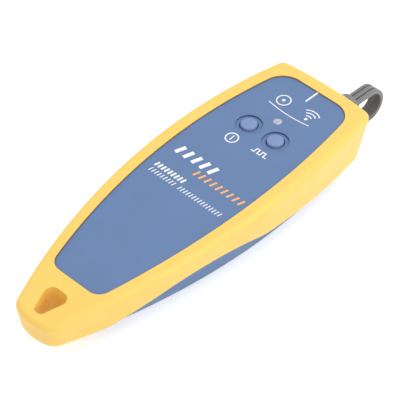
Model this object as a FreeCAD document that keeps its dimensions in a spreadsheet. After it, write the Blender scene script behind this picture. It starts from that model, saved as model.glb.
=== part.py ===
import FreeCAD, Part
import Sketcher
import math
import os
from FreeCAD import Placement, Rotation, Vector

# A hand-held visual fault locator: a laser light source for optical fibre.
# Hard blue housing halves sit inside a yellow overmould with a lanyard lug.
# X runs along the body with the light port at +X, Y across it, Z up.
# The origin is on the resting plane, midway between the lug and the strap.
# All sizes are in millimetres and degrees.

SIZES = {
    # body outline, seen from above
    "body_length": 137.0,
    "body_width": 51.3,
    "body_height": 27.7,
    "widest_from_head": 52.0,
    "head_side_radius": 226.0,
    "tail_side_radius": 240.0,
    "head_end_radius": 160.0,
    "tail_end_radius": 20.0,
    "head_corner": 3.0,
    "tail_corner": 5.5,
    "side_draft": 9.0,
    "end_draft": 9.0,
    # arched face
    "arch_radius": 838.0,
    "rim_step": 0.5,
    "rim_thickness": 1.5,
    "rim_width": 5.7,
    "rim_edge": 1.9,
    "plate_thickness": 2.3,
    "window_head_gap": 5.8,
    "window_tail_gap": 19.6,
    "window_head_corner": 8.0,
    "window_tail_corner": 5.0,
    # overmould
    "boot_wall": 2.2,
    "boot_edge_head": 9.0,
    "boot_edge_mid": 12.0,
    "boot_scallop": 15.7,
    "scallop_start": 56.0,
    "scallop_length": 44.0,
    "scallop_soft": 25.0,
    "lug_length": 16.8,
    "lug_bottom": 6.2,
    "lug_round": 2.2,
    "lug_hole_width": 11.0,
    "lug_hole_length": 10.6,
    "lug_hole_corner": 2.8,
    "lug_hole_tip": 1.4,
    "lug_tip_width": 3.3,
    "lug_hole_gap": 3.7,
    # housing
    "shell_wall": 2.0,
    "bottom_round": 10.0,
    "tail_rise_start": 84.0,
    "housing_end_radius": 40.0,
    "fit_gap": 0.1,
    "rib": 1.5,
    "cradle_front": 5.0,
    "cradle_rear": 2.0,
    "pad_margin": 1.2,
    # buttons and indicator
    "led_from_head": 25.3,
    "led_diameter": 3.0,
    "button_from_led": 7.45,
    "button_spacing": 11.8,
    "button_diameter": 5.7,
    "button_proud": 0.9,
    "button_flange": 1.0,
    "button_flange_thickness": 0.7,
    "button_travel": 0.5,
    "button_hole": 6.4,
    "well_diameter": 9.2,
    "well_depth": 0.35,
    # circuit board
    "board_top": 19.4,
    "board_thickness": 1.6,
    "board_width": 30.0,
    "board_length": 54.0,
    "board_from_head": 14.0,
    "switch_side": 6.0,
    "switch_height": 3.0,
    "plunger_radius": 1.7,
    "chip_height": 1.2,
    "chip_length": 6.0,
    "chip_width": 5.0,
    "chip_from_edge": 10.0,
    "inductor_from_edge": 22.0,
    "inductor_y": 7.0,
    "inductor_radius": 3.0,
    "inductor_height": 2.6,
    "led_flange": 0.4,
    "led_dome": 0.3,
    # light port
    "port_height": 11.2,
    "port_reach": 9.5,
    "barrel_radius": 3.2,
    "collar_radius": 4.2,
    "port_pad": 1.3,
    "ring_gap": 0.3,
    "flange_radius": 5.6,
    "flange_thickness": 1.7,
    "ferrule_radius": 1.25,
    "sleeve_wall": 0.35,
    "sleeve_length": 8.0,
    "sleeve_slit": 0.6,
    "sleeve_lip": 0.8,
    "seal_wire": 1.0,
    # laser module
    "module_radius": 5.0,
    "module_length": 20.0,
    "module_wall": 1.0,
    "lens_thickness": 2.0,
    "lens_radius": 3.5,
    "lens_land": 0.5,
    "lens_setback": 4.0,
    "aperture_radius": 1.0,
    "diode_radius": 2.8,
    "diode_flange": 1.2,
    "diode_setback": 16.0,
    "pin_length": 3.4,
    "pin_radius": 0.225,
    "pin_circle": 1.27,
    # dust cap
    "cap_radius": 4.5,
    "cap_gap": 0.1,
    "cap_end": 1.4,
    "cap_reach": 11.4,
    "cap_edge": 0.6,
    "strap_width": 5.3,
    "strap_thickness": 1.6,
    "strap_groove": 0.35,
    "strap_groove_width": 0.55,
    "strap_groove_spacing": 2.1,
    "strap_loop_radius": 6.2,
    "strap_reach": 25.6,
    "strap_loop_height": 7.0,
    "ring_radius": 5.9,
    "ring_width": 1.8,
    # batteries
    "cell_radius": 7.25,
    "cell_length": 49.5,
    "cell_nub_radius": 2.75,
    "cell_nub_length": 1.0,
    "cell_spacing": 15.2,
    "bay_from_head": 31.0,
    "spring_wire": 0.8,
    "spring_length": 5.0,
    "spring_taper": 2.0,
    "contact_thickness": 0.5,
    "contact_gap": 3.0,
    "contact_trim": 4.0,
    "contact_drop": 1.0,
    # battery door
    "door_height": 7.0,
    "door_gap": 0.15,
    "grip_from_rear": 4.0,
    "grip_pitch": 2.2,
    "grip_width": 1.1,
    "grip_length": 12.0,
    "grip_depth": 0.6,
    # fastening
    "boss_split": 13.0,
    "boss_front": 10.4,
    "boss_front_y": 11.0,
    "boss_rear": 100.0,
    "boss_rear_y": 6.6,
    "boss_seat": 6.0,
    "screw_radius": 1.2,
    "screw_head_radius": 2.2,
    "screw_head_height": 1.6,
    "screw_length": 11.0,
    "boss_radius": 3.2,
    "boss_step": 0.4,
    "screw_slot": 0.6,
    "screw_slot_depth": 0.7,
    "recess_gap": 0.3,
}


class Size:
    """A number together with the sheet formula that it comes from."""

    def __init__(self, value, text):
        self.value = value
        self.text = text

    def __add__(self, other):
        other = sized(other)
        return Size(self.value + other.value, f"({self.text} + {other.text})")

    def __sub__(self, other):
        other = sized(other)
        return Size(self.value - other.value, f"({self.text} - {other.text})")

    def __mul__(self, other):
        other = sized(other)
        return Size(self.value * other.value, f"({self.text} * {other.text})")

    def __truediv__(self, other):
        other = sized(other)
        return Size(self.value / other.value, f"({self.text} / {other.text})")

    def __neg__(self):
        return Size(-self.value, f"(0 - {self.text})")

    __radd__ = __add__
    __rmul__ = __mul__

    def __rsub__(self, other):
        return sized(other) - self


def sized(number):
    """Give a plain number the same form as a sheet size."""
    return number if isinstance(number, Size) else Size(float(number), f"{number:.6f}")


def tangent(angle):
    return Size(math.tan(math.radians(angle.value)), f"tan({angle.text} * 1deg)")


def cosine(angle):
    return Size(math.cos(math.radians(angle.value)), f"cos({angle.text} * 1deg)")


def sine(angle):
    return Size(math.sin(math.radians(angle.value)), f"sin({angle.text} * 1deg)")


def root(square):
    return Size(math.sqrt(square.value), f"sqrt({square.text})")


doc = FreeCAD.newDocument("fault_locator")
sheet = doc.addObject("Spreadsheet::Sheet", "Sizes")
for row, (alias, number) in enumerate(SIZES.items(), start=1):
    sheet.set(f"A{row}", alias)
    sheet.set(f"B{row}", f"{number}")
    sheet.setAlias(f"B{row}", alias)
doc.recompute()


class Sheet:
    """Reads each driving size from the sheet by its name."""

    def __getattr__(self, alias):
        return Size(float(sheet.get(alias)), f"Sizes.{alias}")


S = Sheet()

# Stations and levels that several pieces share.
half_width = S.body_width / 2
head = (S.body_length - S.strap_reach) / 2
tail = head - S.body_length
widest = head - S.widest_from_head
housing_tail = tail + S.lug_length
arch_centre = S.body_height - S.arch_radius
panel_radius = S.arch_radius - S.rim_step
ledge_radius = S.arch_radius - S.rim_thickness
under_radius = panel_radius - S.plate_thickness
led_x = head - S.led_from_head
button_x = led_x - S.button_from_led
button_y = S.button_spacing / 2
boot_face = head - (S.body_height - S.port_height) * tangent(S.end_draft)
port_wall = head - S.boot_wall - (S.body_height - S.port_height) * tangent(S.end_draft)
wall_inside = port_wall - S.shell_wall
pad_face = wall_inside - S.port_pad
ring_start = boot_face + S.ring_gap
collar_end = ring_start + S.ring_width + S.ring_gap
barrel_end = head + S.port_reach
module_front = pad_face - S.flange_thickness
bay_front = head - S.bay_from_head
bay_rear = bay_front - (2 * S.contact_thickness + S.cell_nub_length + S.cell_length
                        + S.spring_length)
board_bottom = S.board_top - S.board_thickness
cell_y = S.cell_spacing / 2
cell_z = S.shell_wall + S.cell_radius + S.fit_gap
REACH = 60.0        # how far cutting blocks run past the body
HEAD_SWEEP = 30     # degrees that a long side turns through towards the head
TAIL_SWEEP = 40     # and towards the tail
GRIPS = 4           # finger ridges on the battery door
SPRING_TURNS = 3
SPRING_STEPS = 16   # straight steps in one turn of a spring
PIECES = []         # the sub-parts, in the order they are made


def arch_height(radius, x):
    """Height of a face that is level at the head and falls to the tail on an arc."""
    return arch_centre + root(radius * radius - (head - x) * (head - x))


def bind(item, name, size):
    item.setExpression(name, sized(size).text)


def place(item, x=0.0, y=0.0, z=0.0, rotation=Rotation()):
    """Turn an object, then tie its place to the sheet."""
    x, y, z = sized(x), sized(y), sized(z)
    item.Placement = Placement(Vector(x.value, y.value, z.value), rotation)
    for axis, size in (("x", x), ("y", y), ("z", z)):
        bind(item, f"Placement.Base.{axis}", size)
    return item


TURNS = {
    "XY": Rotation(),
    "XZ": Rotation(Vector(1, 0, 0), 90),
    "YZ": Rotation(Vector(1, 1, 1), 120),
}
ALONG_X = Rotation(Vector(0, 1, 0), 90)


def pin(sketch, geo, pos, across, up):
    """Dimension one sketch point from the sketch's origin."""
    for kind, axis, size in (("DistanceX", -2, sized(across)), ("DistanceY", -1, sized(up))):
        if abs(size.value) < 1e-9:
            sketch.addConstraint(Sketcher.Constraint("PointOnObject", geo, pos, axis))
            continue
        ends = (-1, 1, geo, pos) if size.value > 0 else (geo, pos, -1, 1)
        index = sketch.addConstraint(Sketcher.Constraint(kind, *ends, abs(size.value)))
        text = size.text if size.value > 0 else (-size).text
        sketch.setExpression(f"Constraints[{index}]", text)


def outline(name, plane, points, arcs=()):
    """A closed sketch through points; arcs gives {first point's index: radius}.

    A positive radius bulges to the right of the direction of travel. A half
    circle is held by its centre's place, which lies straight above its ends.
    """
    sketch = doc.addObject("Sketcher::SketchObject", name)
    sketch.Placement = Placement(Vector(), TURNS[plane])
    arcs = dict(arcs)
    spots = [Vector(sized(a).value, sized(b).value, 0) for a, b in points]
    count = len(points)
    starts = [1] * count
    for index, start in enumerate(spots):
        end = spots[(index + 1) % count]
        if index not in arcs:
            sketch.addGeometry(Part.LineSegment(start, end), False)
            continue
        radius = arcs[index].value
        chord = end - start
        inward = Vector(-chord.y, chord.x, 0).normalize() * math.copysign(1, radius)
        offset = math.sqrt(max(0.0, radius ** 2 - (chord.Length / 2) ** 2))
        centre = (start + end) / 2 + inward * offset
        if radius < 0:
            start, end = end, start
            starts[index] = 2
        first = math.atan2(start.y - centre.y, start.x - centre.x)
        last = math.atan2(end.y - centre.y, end.x - centre.x)
        circle = Part.Circle(centre, Vector(0, 0, 1), abs(radius))
        sketch.addGeometry(Part.ArcOfCircle(circle, first, last), False)
    for index in range(count):
        after = (index + 1) % count
        sketch.addConstraint(
            Sketcher.Constraint("Coincident", index, 3 - starts[index], after, starts[after]))
    for index, (a, b) in enumerate(points):
        pin(sketch, index, starts[index], a, b)
    for index, radius in arcs.items():
        across = sized(points[index][0])
        if spots[index].distanceToPoint(spots[(index + 1) % count]) > 1.999 * abs(radius.value):
            number = sketch.addConstraint(
                Sketcher.Constraint("DistanceX", -1, 1, index, 3, across.value))
            sketch.setExpression(f"Constraints[{number}]", across.text)
            continue
        number = sketch.addConstraint(Sketcher.Constraint("Radius", index, abs(radius.value)))
        text = radius.text if radius.value > 0 else (-radius).text
        sketch.setExpression(f"Constraints[{number}]", text)
    return sketch


def extrude(name, sketch, length, symmetric=True):
    """Extrude a sketch along its own normal."""
    solid = doc.addObject("Part::Extrusion", name)
    solid.Base = sketch
    solid.DirMode = "Normal"
    solid.Solid = True
    solid.Symmetric = symmetric
    bind(solid, "LengthFwd", length)
    return solid


def revolve(name, sketch, x, y, z, axis, angle):
    solid = doc.addObject("Part::Revolution", name)
    solid.Source = sketch
    solid.Axis = axis
    solid.Base = Vector(sized(x).value, sized(y).value, sized(z).value)
    bind(solid, "Base.x", x)
    bind(solid, "Base.y", y)
    bind(solid, "Base.z", z)
    solid.Angle = angle
    solid.Solid = True
    return solid


def block(name, low, high):
    """A box from its low corner to its high corner."""
    solid = doc.addObject("Part::Box", name)
    for side, start, end in zip(("Length", "Width", "Height"), low, high):
        bind(solid, side, sized(end) - start)
    return place(solid, *low)


def rod(name, radius, x, length, y=0.0, z=0.0):
    """A cylinder along X, from x towards the head."""
    solid = doc.addObject("Part::Cylinder", name)
    bind(solid, "Radius", radius)
    bind(solid, "Height", length)
    return place(solid, x, y, z, ALONG_X)


def post(name, radius, x, y, z, height):
    """An upright cylinder."""
    solid = doc.addObject("Part::Cylinder", name)
    bind(solid, "Radius", radius)
    bind(solid, "Height", height)
    return place(solid, x, y, z)


def frustum(name, low_radius, high_radius, x, y, z, height, rotation=Rotation()):
    solid = doc.addObject("Part::Cone", name)
    bind(solid, "Radius1", low_radius)
    bind(solid, "Radius2", high_radius)
    bind(solid, "Height", height)
    return place(solid, x, y, z, rotation)


def joined(name, shapes):
    solid = doc.addObject("Part::MultiFuse", name)
    solid.Shapes = shapes
    solid.Refine = True
    return solid


def shared(name, shapes):
    """What all the shapes have in common, taken two at a time."""
    solid = shapes[0]
    for number, other in enumerate(shapes[1:], start=1):
        step = doc.addObject("Part::Common", name if number == len(shapes) - 1
                             else f"{name}_step_{number}")
        step.Base = solid
        step.Tool = other
        step.Refine = number == len(shapes) - 1
        solid = step
    return solid


def less(name, base, tools):
    """A solid with one or more tools cut out of it."""
    solid = doc.addObject("Part::Cut", name)
    solid.Base = base
    solid.Tool = tools[0] if len(tools) == 1 else joined(f"{name}_tools", tools)
    solid.Refine = True
    return solid


def mirrored(name, source):
    solid = doc.addObject("Part::Mirroring", name)
    solid.Source = source
    solid.Normal = Vector(0, 1, 0)
    return solid


def rounded(name, base, radius, chosen):
    """Round the edges of a solid that a test picks out."""
    doc.recompute()
    numbers = [n for n, edge in enumerate(base.Shape.Edges, start=1) if chosen(edge)]
    solid = doc.addObject("Part::Fillet", name)
    solid.Base = base
    solid.Edges = [(n, radius.value, radius.value) for n in numbers]
    doc.recompute()
    return solid


def piece(label, solid):
    """Name a finished sub-part; the name is also its file's."""
    solid.Label = label
    PIECES.append(solid)
    return solid


def middle_of(edge):
    return edge.valueAt((edge.FirstParameter + edge.LastParameter) / 2)


def below_arch(name, radius, floor):
    """Everything between a floor and the arched surface of a given radius."""
    ends = (tail - REACH, head + REACH)
    points = [(ends[0], floor), (ends[1], floor),
              (ends[1], arch_height(radius, ends[1])), (ends[0], arch_height(radius, ends[0]))]
    profile = outline(f"{name}_profile", "XZ", points, {2: radius})
    return extrude(name, profile, 2 * REACH + S.body_width)


def hull(name, inset, floor, floor_round, tail_at, tail_radius, side_profile):
    """The lens-shaped body, drawn in by an inset, with drafted sides and ends.

    Each long side is a section turned about an upright axis far across the
    body, so that it bends at the side radius and keeps its section.
    """
    slope = tangent(S.side_draft)
    end_slope = tangent(S.end_draft)
    top = S.body_height + 1
    side = half_width - inset + slope
    round_up = floor + floor_round
    round_y = (half_width - inset - (S.body_height - round_up) * slope
               - floor_round / cosine(S.side_draft))
    section_points = [
        (-REACH, floor),
        (round_y, floor),
        (round_y + floor_round * cosine(S.side_draft),
         round_up - floor_round * sine(S.side_draft)),
        (side, top),
        (-REACH, top),
    ]
    section = outline(f"{name}_section", "YZ", section_points, {1: floor_round})
    place(section, widest, 0, 0, TURNS["YZ"])
    front = revolve(f"{name}_front", section, widest, half_width - S.head_side_radius, 0,
                    Vector(0, 0, -1), HEAD_SWEEP)
    rear = revolve(f"{name}_rear", section, widest, half_width - S.tail_side_radius, 0,
                   Vector(0, 0, 1), TAIL_SWEEP)
    left = joined(f"{name}_left", [front, rear])
    right = mirrored(f"{name}_right", left)
    below = sized(-1.0)
    depth = S.body_height - below
    head_radius = S.head_end_radius - inset
    head_block = frustum(f"{name}_head", head_radius - depth * end_slope,
                         head_radius + end_slope, head - S.head_end_radius, 0, below, top - below)
    level = arch_height(S.arch_radius, tail_at)
    tail_round = frustum(f"{name}_tail", tail_radius - (level - below) * end_slope,
                         tail_radius + (top - level) * end_slope,
                         tail_at + tail_radius, 0, below, top - below)
    tail_box = block(f"{name}_fore", (tail_at + tail_radius, -REACH, below),
                     (head + REACH, REACH, top))
    tail_block = joined(f"{name}_aft", [tail_round, tail_box])
    return shared(name, [left, right, head_block, tail_block, side_profile])


# ---------------------------------------------------------------- shared solids

def housing_profile(name, radius, floor):
    """Side view of the housing: arched on top, its floor rising to the tail."""
    rise = S.lug_bottom
    run = head - S.tail_rise_start - housing_tail
    turn = (run * run + rise * rise) / (2 * rise)
    points = [
        (head - S.tail_rise_start, floor),
        (head + REACH, floor),
        (head + REACH, arch_height(radius, head + REACH)),
        (housing_tail, arch_height(radius, housing_tail)),
        (housing_tail, floor + rise),
    ]
    profile = outline(f"{name}_profile", "XZ", points, {2: radius, 4: turn})
    return extrude(name, profile, 2 * REACH + S.body_width)


def window_block(name, gap, floor, top):
    """The window in the overmould's rim, as an upright block narrowed by a gap."""
    inset = S.rim_width + gap
    section = outline(f"{name}_section", "YZ",
                      [(-REACH, floor), (half_width - inset, floor),
                       (half_width - inset, top), (-REACH, top)])
    place(section, widest, 0, 0, TURNS["YZ"])
    front = revolve(f"{name}_front", section, widest, half_width - S.head_side_radius, 0,
                    Vector(0, 0, -1), HEAD_SWEEP)
    rear = revolve(f"{name}_rear", section, widest, half_width - S.tail_side_radius, 0,
                   Vector(0, 0, 1), TAIL_SWEEP)
    left = joined(f"{name}_left", [front, rear])
    right = mirrored(f"{name}_right", left)
    ends = block(f"{name}_ends", (tail + S.window_tail_gap + gap, -REACH, floor),
                 (head - S.window_head_gap - gap, REACH, top))
    whole = shared(f"{name}_whole", [left, right, ends])
    fore = rounded(f"{name}_fore_corners", whole, S.window_head_corner - gap,
                   lambda edge: upright(edge) and middle_of(edge).x > widest.value + 20)
    return rounded(f"{name}_corners", fore, S.window_tail_corner - gap,
                   lambda edge: upright(edge) and middle_of(edge).x < widest.value - 20
                   and abs(middle_of(edge).y) > 3)


def upright(edge):
    ends = edge.Vertexes
    if len(ends) != 2:
        return False
    across = ends[1].Point - ends[0].Point
    return abs(across.z) > 0.9 * across.Length and across.Length > 3


core_profile = housing_profile("core_side", ledge_radius, sized(0.0))
core = hull("core", S.boot_wall, sized(0.0), S.bottom_round, housing_tail,
            S.housing_end_radius, core_profile)
boot_points = [
    (tail - REACH, S.lug_bottom),
    (tail + S.lug_length, S.lug_bottom),
    (head - S.scallop_start - S.scallop_length, S.boot_edge_mid),
    (head - S.scallop_start, S.boot_edge_mid),
    (head + REACH, S.boot_edge_mid
     + (S.boot_edge_head - S.boot_edge_mid) * (S.scallop_start + REACH) / S.scallop_start),
    (head + REACH, arch_height(S.arch_radius, head + REACH)),
    (tail - REACH, arch_height(S.arch_radius, tail - REACH)),
]
scallop_rise = S.boot_scallop - S.boot_edge_mid
scallop_turn = ((S.scallop_length * S.scallop_length / 4 + scallop_rise * scallop_rise)
                / (2 * scallop_rise))
boot_sketch = outline("boot_profile", "XZ", boot_points, {2: -scallop_turn, 5: S.arch_radius})
boot_blank = extrude("boot_blank", boot_sketch, 2 * REACH + S.body_width)
scallop_ends = [head - S.scallop_start, head - S.scallop_start - S.scallop_length]
boot_side = rounded("boot_side", boot_blank, S.scallop_soft,
                    lambda edge: abs(middle_of(edge).z - S.boot_edge_mid.value) < 0.01
                    and min(abs(middle_of(edge).x - end.value) for end in scallop_ends) < 0.01)
boot_hull = hull("boot_hull", sized(0.0), sized(0.0), sized(4.0), tail,
                 S.tail_end_radius, boot_side)



# ---------------------------------------------------------------- moulded housing

def body(name):
    return doc.addObject("PartDesign::Body", name)


def plane(owner, role):
    return next(item for item in owner.Origin.OriginFeatures if item.Role == role)


def adopt(owner, sketch, role):
    """Move a sketch into a body, on one of the body's own planes."""
    owner.addObject(sketch)
    sketch.AttachmentSupport = [(plane(owner, role), "")]
    sketch.MapMode = "FlatFace"
    return sketch


def turned(name, points, arcs=(), role="XZ_Plane", axis="H_Axis"):
    """A body of revolution: its half profile turned about one sketch axis."""
    owner = body(name)
    sketch = adopt(owner, outline(f"{name}_profile", "XY", points, arcs), role)
    turn = owner.newObject("PartDesign::Revolution", f"{name}_turn")
    turn.Profile = sketch
    turn.ReferenceAxis = (sketch, [axis])
    turn.Angle = 360
    return owner


def padded(name, points, thickness, role="YZ_Plane", arcs=(), midplane=False):
    """A body cut from sheet: an outline padded along the plane's normal."""
    owner = body(name)
    sketch = adopt(owner, outline(f"{name}_profile", "XY", points, arcs), role)
    pad = owner.newObject("PartDesign::Pad", f"{name}_pad")
    pad.Profile = sketch
    pad.Midplane = midplane
    bind(pad, "Length", thickness)
    return owner


def rectangle(x0, x1, y0, y1):
    return [(x0, y0), (x1, y0), (x1, y1), (x0, y1)]


def bosses(name, radius, floor, top):
    """The four screw posts, two by the port and two by the lug."""
    spots = [(head - S.boss_front, S.boss_front_y), (head - S.boss_rear, S.boss_rear_y)]
    posts = []
    for number, (x, y) in enumerate(spots):
        for side, across in (("left", y), ("right", -y)):
            posts.append(post(f"{name}_{number}_{side}", radius, x, across, floor, top - floor))
    return posts


def make_overmould():
    """The yellow boot: a bumper round both housing halves, with the lanyard lug."""
    shaped = rounded("boot_head_corners", boot_hull, S.head_corner,
                     lambda edge: upright(edge) and middle_of(edge).x > widest.value + 30
                     and abs(middle_of(edge).y) > 5)
    shaped = rounded("boot_tail_corners", shaped, S.tail_corner,
                     lambda edge: upright(edge) and middle_of(edge).x < tail.value + 8)
    shaped = rounded("boot_rim", shaped, S.rim_edge,
                     lambda edge: middle_of(edge).z > rim_line(middle_of(edge).x) - 0.4
                     and not upright(edge))
    shaped = rounded("boot_lug_foot", shaped, S.lug_round,
                     lambda edge: abs(middle_of(edge).z - S.lug_bottom.value) < 0.3
                     and middle_of(edge).x < tail.value + 13 and abs(middle_of(edge).y) > 0.01
                     or abs(middle_of(edge).z - S.lug_bottom.value) < 0.05
                     and middle_of(edge).x < tail.value + 5)
    window = window_block("window", sized(0.0), S.lug_bottom, S.body_height + 1)
    hole_start = tail + S.lug_hole_gap
    hole_end = hole_start + S.lug_hole_length
    hole_half = S.lug_hole_width / 2
    tip_half = S.lug_tip_width / 2
    hole_points = [(hole_start, -tip_half), (hole_end, -hole_half),
                   (hole_end, hole_half), (hole_start, tip_half)]
    hole_sketch = outline("lug_hole_profile", "XY", hole_points)
    hole_blank = extrude("lug_hole_blank", hole_sketch, 4 * S.body_height)
    hole = rounded("lug_hole", hole_blank, S.lug_hole_corner,
                   lambda edge: upright(edge) and middle_of(edge).x > hole_start.value + 2)
    hole = rounded("lug_hole_tip", hole, S.lug_hole_tip,
                   lambda edge: upright(edge) and middle_of(edge).x < hole_start.value + 2)
    recess = rod("port_recess", S.ring_radius + 2 * S.ring_gap, boot_face, REACH, 0, S.port_height)
    throat = rod("port_throat", S.collar_radius + S.fit_gap, wall_inside, REACH, 0, S.port_height)
    return piece("overmould", less("boot", shaped, [core_block, window, hole, recess, throat]))


def rim_line(x):
    """Height of the rim at a station, as a plain number for picking edges."""
    return arch_height(S.arch_radius, sized(x)).value


def make_face_plate():
    """The upper housing half: an arched panel that fills the rim's window."""
    flange = less("plate_flange", core_block, [under_plate])
    panel = shared("panel", [
        window_block("panel_block", sized(0.0), sized(0.0), S.body_height + 1),
        below_arch("panel_arch", panel_radius, sized(0.0)),
    ])
    panel_skin = less("panel_skin", panel, [under_plate])
    anchors = bosses("plate_boss", S.boss_radius - S.boss_step, S.boss_split, S.body_height)
    trimmed = shared("plate_bosses", [joined("plate_boss_set", anchors), core_block])
    whole = joined("plate_whole", [flange, panel_skin, trimmed])
    cuts = [post("led_hole", S.led_diameter / 2 + S.fit_gap / 2, led_x, 0, S.board_top,
                 S.body_height)]
    well_floor = arch_height(panel_radius, button_x) - S.well_depth
    for side, y in (("left", button_y), ("right", -button_y)):
        cuts.append(post(f"button_hole_{side}", S.button_hole / 2, button_x, y, S.board_top,
                         S.body_height))
        cuts.append(post(f"button_well_{side}", S.well_diameter / 2, button_x, y, well_floor,
                         S.body_height))
    cuts += bosses("plate_pilot", S.screw_radius, S.boss_split - 1,
                   S.boss_seat + S.screw_length + S.fit_gap)
    return piece("face_plate", less("plate", whole, cuts))


def make_back_shell():
    """The lower housing half, with its battery bay, cradle, posts and port wall."""
    skin = shared("shell_skin", [core_block, under_plate])
    posts = bosses("shell_boss", S.boss_radius, sized(0.0), S.boss_split)
    cradle_start = module_front - S.cradle_front
    cradle_end = module_front - S.module_length + S.cradle_rear
    cradle_half = S.module_radius + S.module_wall
    ribs = [
        block("bay_wall_front", (bay_front, -REACH, 0), (bay_front + S.rib, REACH, board_bottom)),
        block("bay_wall_rear", (bay_rear - S.rib, -REACH, 0), (bay_rear, REACH, board_bottom)),
        block("cradle_front", (cradle_start, -cradle_half, 0),
              (cradle_start + S.rib, cradle_half, S.port_height)),
        block("cradle_rear", (cradle_end, -cradle_half, 0),
              (cradle_end + S.rib, cradle_half, S.port_height)),
        rod("port_pad_blank", S.flange_radius + S.pad_margin, pad_face, 4 * S.shell_wall, 0, S.port_height),
    ]
    inner = shared("shell_inner", [joined("shell_features", posts + ribs), core_block])
    hollow = less("shell_hollow", skin, [cavity])
    whole = joined("shell_whole", [hollow, inner])
    cuts = [
        under_cut,
        door_block("door_opening", sized(0.0)),
        rod("shell_port", S.collar_radius + S.fit_gap / 2, pad_face - 1, REACH, 0, S.port_height),
        rod("seal_seat", S.collar_radius + S.seal_wire + S.fit_gap / 2, pad_face, S.seal_wire, 0,
            S.port_height),
        rod("module_bed", S.module_radius + S.fit_gap / 2, module_front - S.module_length - 1,
            S.module_length + 1, 0, S.port_height),
        rod("flange_bed", S.flange_radius + S.fit_gap, module_front, S.flange_thickness, 0,
            S.port_height),
    ]
    cuts += bosses("screw_hole", S.screw_radius + S.fit_gap, sized(-1.0), S.body_height)
    cuts += bosses("screw_recess", S.screw_head_radius + S.recess_gap, sized(-1.0), S.boss_seat)
    return piece("back_shell", less("shell", whole, cuts))


def door_block(name, gap):
    """The part of the shell that the battery door takes, drawn in by a gap."""
    return block(name, (bay_rear + gap, -REACH, -1), (bay_front - gap, REACH, S.door_height - gap))


def make_battery_door():
    """The door: the curved underside of the battery bay, with a finger grip."""
    skin = less("door_skin", shared("door_blank", [core_block, door_block("door_reach", S.door_gap)]),
                [cavity])
    grips = []
    for number in range(GRIPS):
        start = bay_rear + S.grip_from_rear + S.grip_pitch * number
        grips.append(block(f"door_grip_{number}", (start, -S.grip_length / 2, -1),
                           (start + S.grip_width, S.grip_length / 2, S.grip_depth)))
    return piece("battery_door", less("door", skin, grips))


core_block = rounded("core_block", core, S.head_corner,
                     lambda edge: upright(edge) and middle_of(edge).x > widest.value + 30
                     and abs(middle_of(edge).y) > 5)
cavity_wall = S.boot_wall + S.shell_wall
cavity_profile = housing_profile("cavity_side", S.arch_radius + 4, S.shell_wall)
cavity = hull("cavity", cavity_wall, S.shell_wall, S.bottom_round - S.shell_wall,
              housing_tail + S.shell_wall, S.housing_end_radius - S.shell_wall,
              cavity_profile)
under_plate = below_arch("under_plate", under_radius, sized(-5.0))
above = block("above_block", (tail - REACH, -REACH, 0), (head + REACH, REACH, S.body_height + 5))
under_cut = less("above_plate", above, [under_plate])



# ---------------------------------------------------------------- controls and board

button_rim = S.button_diameter / 2 + S.button_flange
flange_top = arch_height(under_radius, button_x - button_rim) - S.fit_gap
flange_bottom = flange_top - S.button_flange_thickness
plunger_top = flange_bottom - S.button_travel - S.fit_gap / 2


def make_button(label, y):
    """A push button: a crowned cap on a flange that stays under the face plate."""
    outer = S.button_diameter / 2
    crown = arch_height(panel_radius, button_x) + S.button_proud
    edge = S.button_proud / 3
    sweep = (outer * outer + edge * edge) / (2 * edge)
    points = [(0, flange_bottom), (button_rim, flange_bottom), (button_rim, flange_top),
              (outer, flange_top), (outer, crown - edge), (0, crown)]
    button = turned(label, points, {4: sweep}, axis="V_Axis")
    return piece(label, place(button, button_x, y, 0))


def make_power_button():
    return make_button("power_button", button_y)


def make_flash_button():
    return make_button("flash_button", -button_y)


def make_switch(label, y):
    """A tactile switch on the board, one press away from its button."""
    half = S.switch_side / 2
    case = block(f"{label}_case", (button_x - half, y - half, S.board_top),
                 (button_x + half, y + half, S.board_top + S.switch_height))
    plunger = post(f"{label}_plunger", S.plunger_radius, button_x, y, S.board_top,
                   plunger_top - S.board_top)
    return piece(label, joined(f"{label}_whole", [case, plunger]))


def make_power_switch():
    return make_switch("power_switch", button_y)


def make_flash_switch():
    return make_switch("flash_switch", -button_y)


def make_status_led():
    """The indicator: a domed lamp that stands on the board and fills its hole."""
    lamp = S.led_diameter / 2
    crown = arch_height(panel_radius, led_x) + S.led_dome
    sweep = (lamp * lamp + S.led_dome * S.led_dome) / (2 * S.led_dome)
    base = S.board_top + S.rib
    points = [(0, S.board_top), (lamp + S.led_flange, S.board_top), (lamp + S.led_flange, base),
              (lamp, base), (lamp, crown - S.led_dome), (0, crown)]
    return piece("status_led", place(turned("led", points, {4: sweep}, axis="V_Axis"), led_x, 0, 0))


def make_circuit_board():
    half = S.board_width / 2
    start = head - S.board_from_head
    board = padded("board", rectangle(start - S.board_length, start, -half, half),
                   S.board_thickness, role="XY_Plane")
    return piece("circuit_board", place(board, 0, 0, board_bottom))


def make_driver_chip():
    """The laser driver: a flat chip on the board, behind the buttons."""
    start = head - S.board_from_head - S.board_length + S.chip_from_edge
    half = S.chip_width / 2
    return piece("driver_chip", block("chip", (start, -half, S.board_top),
                                      (start + S.chip_length, half,
                                       S.board_top + S.chip_height)))


def make_boost_inductor():
    """The voltage booster's coil, next to the chip."""
    start = head - S.board_from_head - S.board_length
    return piece("boost_inductor", post("inductor", S.inductor_radius,
                                        start + S.inductor_from_edge, S.inductor_y,
                                        S.board_top, S.inductor_height))


# ---------------------------------------------------------------- light port and laser

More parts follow.
